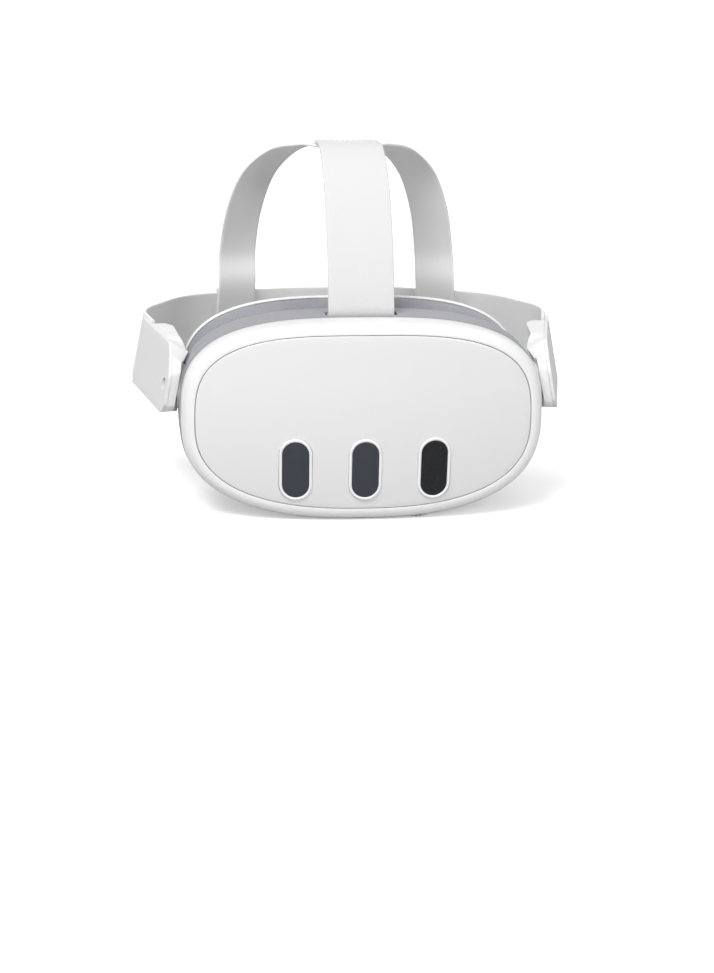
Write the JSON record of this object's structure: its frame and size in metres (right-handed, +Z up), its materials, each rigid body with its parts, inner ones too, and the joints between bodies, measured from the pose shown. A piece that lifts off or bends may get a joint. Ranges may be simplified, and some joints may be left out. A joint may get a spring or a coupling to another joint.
{
  "type": "virtual reality headset",
  "caption": "Head-worn display with a rounded visor, sensor windows, sliding face cushion, pivoting side arms and a fabric head strap.",
  "frame": {"origin": "middle of the flat rest face under the visor", "axes": "+X towards the wearer's left, +Y from the faceplate back towards the face, +Z up"},
  "size_m": [0.2348, 0.1902, 0.1824],
  "materials": {
    "white_shell": "smooth white moulded plastic, satin gloss",
    "faceplate_white": "high gloss white",
    "trim_white": "gloss white",
    "window_glass": "dark tinted glass",
    "grey_plastic": "matte light grey",
    "pale_grey": "satin pale grey",
    "dark_plastic": "matte near-black",
    "board_green": "solder mask green",
    "steel": "brushed steel",
    "brass": "turned brass",
    "aluminium": "bare aluminium",
    "lens_glass": "clear lens",
    "foam_grey": "knit over soft foam",
    "soft_rubber": "thin soft rubber",
    "strap_fabric": "woven elastic fabric, light grey"
  },
  "bodies": {
    "visor": {"front_shell": "white_shell", "faceplate": "faceplate_white", "window_trims": "trim_white", "window_glass": "window_glass", "camera_modules": "dark_plastic", "middle_frame": "grey_plastic", "chassis": "dark_plastic", "mainboard": "board_green", "battery": "dark_plastic", "fan_frame": "dark_plastic", "heat_sink": "aluminium", "guide_rods": "steel", "standoffs": "brass", "housing_screws": "steel", "eye_bezel": "dark_plastic", "proximity_sensor": "dark_plastic", "strap_bar": "steel", "left_arm_socket": "grey_plastic", "right_arm_socket": "grey_plastic", "left_hinge_pin": "steel", "right_hinge_pin": "steel"},
    "fan_rotor": {"fan_rotor": "dark_plastic"},
    "left_eyepiece": {"left_barrel": "dark_plastic", "left_lens": "lens_glass", "left_display": "dark_plastic", "left_rack": "steel"},
    "right_eyepiece": {"right_barrel": "dark_plastic", "right_lens": "lens_glass", "right_display": "dark_plastic", "right_rack": "steel"},
    "ipd_wheel": {"ipd_wheel": "grey_plastic", "ipd_pinion": "brass"},
    "ipd_idler": {"ipd_idler": "brass"},
    "volume_rocker": {"volume_rocker": "white_shell"},
    "face_interface": {"interface_frame": "grey_plastic", "face_cushion": "foam_grey", "nose_flap": "soft_rubber"},
    "left_depth_button": {"left_depth_button": "pale_grey"},
    "right_depth_button": {"right_depth_button": "pale_grey"},
    "left_arm": {"left_arm": "white_shell", "left_arm_cover": "pale_grey", "left_speaker": "dark_plastic", "usb_socket": "steel", "head_band": "strap_fabric", "rear_hoop": "strap_fabric", "front_strap": "strap_fabric", "strap_tab": "strap_fabric"},
    "power_button": {"power_button": "white_shell"},
    "right_arm": {"right_arm": "white_shell", "right_arm_cover": "pale_grey", "right_speaker": "dark_plastic", "audio_jack": "dark_plastic"},
    "left_adjuster": {"left_adjuster": "pale_grey"},
    "right_adjuster": {"right_adjuster": "pale_grey"}
  },
  "joints": [
    {"name": "left_arm_tilt", "type": "hinge", "parent": "visor", "child": "left_arm", "pos_m": [0, 0.0095, 0.064], "axis": [1, 0, 0], "range_deg": [-12, 20], "deforming": ["front_strap", "strap_tab"]},
    {"name": "right_arm_tilt", "type": "hinge", "parent": "visor", "child": "right_arm", "pos_m": [0, 0.0095, 0.064], "axis": [1, 0, 0], "range_deg": [-12, 20]},
    {"name": "power_button_press", "type": "slide", "parent": "left_arm", "child": "power_button", "axis": [0, 0, 1], "range_m": [0, 0.0008], "stiffness_N_per_m": 600},
    {"name": "left_adjuster_slide", "type": "slide", "parent": "left_arm", "child": "left_adjuster", "axis": [-0.9382, 0.3461, 0], "range_m": [-0.006, 0.008]},
    {"name": "right_adjuster_slide", "type": "slide", "parent": "left_arm", "child": "right_adjuster", "axis": [0.9382, 0.3461, 0], "range_m": [-0.006, 0.008]},
    {"name": "interface_depth", "type": "slide", "parent": "visor", "child": "face_interface", "axis": [0, 1, 0], "range_m": [0, 0.006]},
    {"name": "left_depth_button_press", "type": "slide", "parent": "face_interface", "child": "left_depth_button", "axis": [1, 0, 0], "range_m": [0, 0.001], "stiffness_N_per_m": 500},
    {"name": "right_depth_button_press", "type": "slide", "parent": "face_interface", "child": "right_depth_button", "axis": [-1, 0, 0], "range_m": [0, 0.001], "stiffness_N_per_m": 500},
    {"name": "pupil_wheel_turn", "type": "hinge", "parent": "visor", "child": "ipd_wheel", "pos_m": [0.028, -0.0175, 0.0112], "axis": [0, 1, 0], "range_deg": [-40, 40]},
    {"name": "left_eyepiece_slide", "type": "slide", "parent": "visor", "child": "left_eyepiece", "axis": [1, 0, 0], "range_m": [-0.00335, 0.00335]},
    {"name": "right_eyepiece_slide", "type": "slide", "parent": "visor", "child": "right_eyepiece", "axis": [1, 0, 0], "range_m": [-0.0034, 0.0034]},
    {"name": "idler_turn", "type": "hinge", "parent": "visor", "child": "ipd_idler", "pos_m": [0, -0.0083, 0.02548], "axis": [0, 1, 0], "range_deg": [-41, 41]},
    {"name": "volume_rock", "type": "hinge", "parent": "visor", "child": "volume_rocker", "pos_m": [-0.03, -0.018, 0.0056], "axis": [0, 1, 0], "range_deg": [-2, 2], "stiffness_Nm_per_rad": 0.5},
    {"name": "fan_spin", "type": "hinge", "parent": "visor", "child": "fan_rotor", "pos_m": [0, -0.006, 0.0813], "axis": [0, 1, 0], "continuous": true}
  ],
  "couplings": [
    {"joint": "right_arm_tilt", "follows": "left_arm_tilt", "ratio": 1},
    {"joint": "pupil_wheel_turn", "follows": "left_eyepiece_slide", "rad_per_m": 208.33},
    {"joint": "right_eyepiece_slide", "follows": "left_eyepiece_slide", "ratio": -1},
    {"joint": "idler_turn", "follows": "left_eyepiece_slide", "rad_per_m": -208.33}
  ]
}
